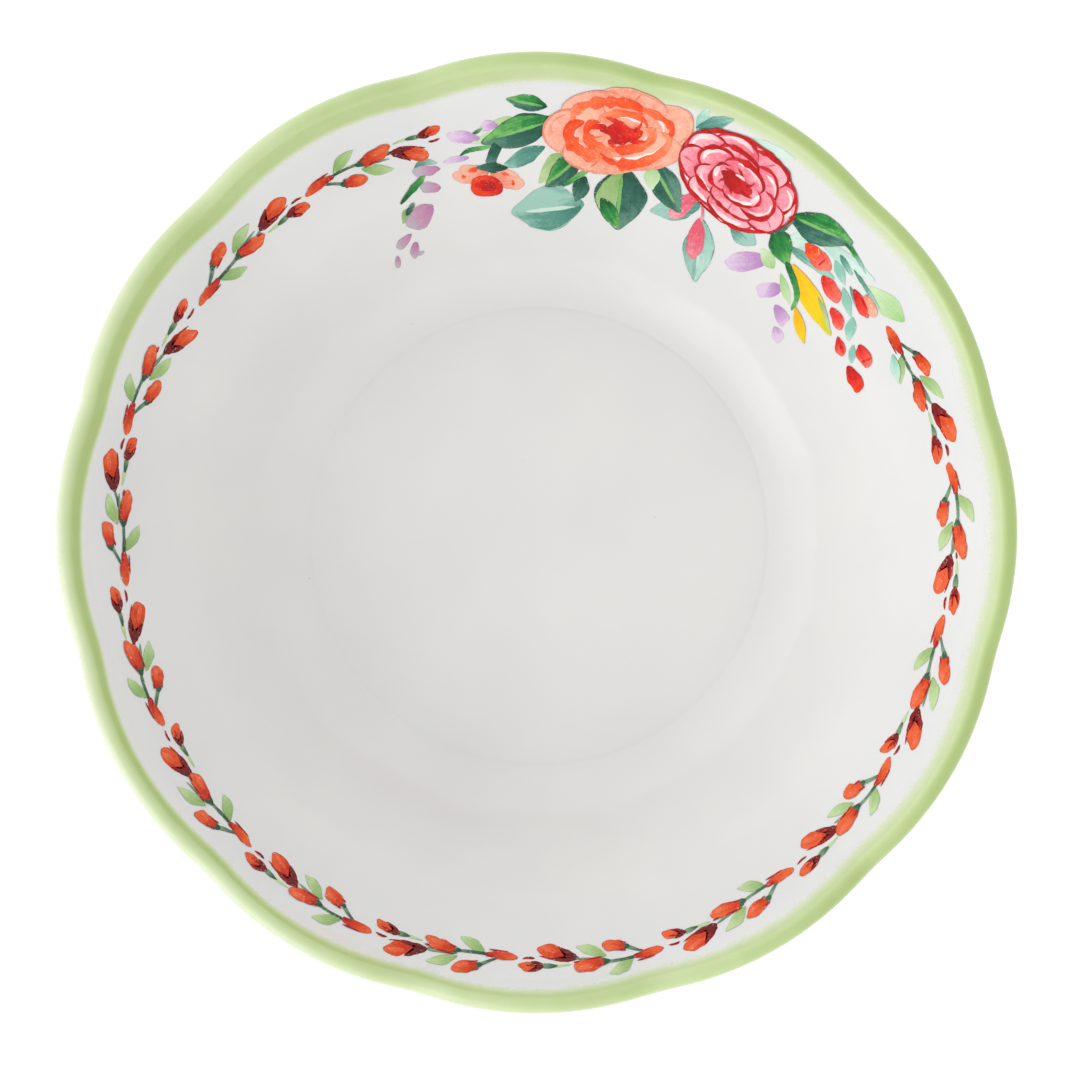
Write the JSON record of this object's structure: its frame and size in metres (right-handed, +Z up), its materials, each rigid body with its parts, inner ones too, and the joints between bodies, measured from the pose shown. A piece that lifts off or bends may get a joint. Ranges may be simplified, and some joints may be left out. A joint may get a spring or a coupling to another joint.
{
  "type": "scalloped serving bowl",
  "caption": "Round porcelain serving bowl with a scalloped rim, a green band round the lip, a spray of flowers and a garland of buds inside, and a foot ring.",
  "frame": {"origin": "centre of the foot ring's resting face, at the bottom of the bowl", "axes": "+Z up along the bowl's axis, +Y towards the spray of flowers, +X to the right when the spray is at the far side"},
  "size_m": [0.281, 0.281, 0.082],
  "materials": {
    "bisque": "unglazed fired clay",
    "white_glaze": "glossy clear glaze over white clay",
    "green_enamel": "glossy, soft airbrushed inner edge",
    "coral_enamel": "glossy transfer",
    "red_enamel": "glossy transfer",
    "pink_enamel": "glossy transfer",
    "crimson_enamel": "glossy transfer",
    "dark_green_enamel": "glossy transfer",
    "teal_enamel": "glossy transfer",
    "light_green_enamel": "glossy transfer",
    "lilac_enamel": "glossy transfer",
    "yellow_enamel": "glossy transfer",
    "bud_red_enamel": "glossy transfer"
  },
  "bodies": {
    "root": {"bisque_body": "bisque", "foot_ring": "bisque", "inner_glaze": "white_glaze", "outer_glaze": "white_glaze", "base_glaze": "white_glaze", "rim_band": "green_enamel", "coral_rose": "coral_enamel", "coral_rose_heart": "red_enamel", "pink_rose": "pink_enamel", "pink_rose_heart": "crimson_enamel", "red_blossom": "red_enamel", "pink_buds": "pink_enamel", "dark_leaves": "dark_green_enamel", "teal_leaves": "teal_enamel", "light_leaves": "light_green_enamel", "lilac_sprig_left": "lilac_enamel", "lilac_sprig_right": "lilac_enamel", "berry_spray": "red_enamel", "yellow_buds": "yellow_enamel", "garland_lead_in": "bud_red_enamel", "garland_sprig_01": "bud_red_enamel", "garland_sprig_02": "bud_red_enamel", "garland_sprig_03": "bud_red_enamel", "garland_sprig_04": "bud_red_enamel", "garland_sprig_05": "bud_red_enamel", "garland_sprig_06": "bud_red_enamel", "garland_sprig_07": "bud_red_enamel", "garland_sprig_08": "bud_red_enamel", "garland_sprig_09": "bud_red_enamel", "garland_sprig_10": "bud_red_enamel", "garland_sprig_11": "bud_red_enamel", "garland_sprig_12": "bud_red_enamel", "garland_sprig_13": "bud_red_enamel", "garland_sprig_14": "bud_red_enamel"}
  },
  "joints": []
}
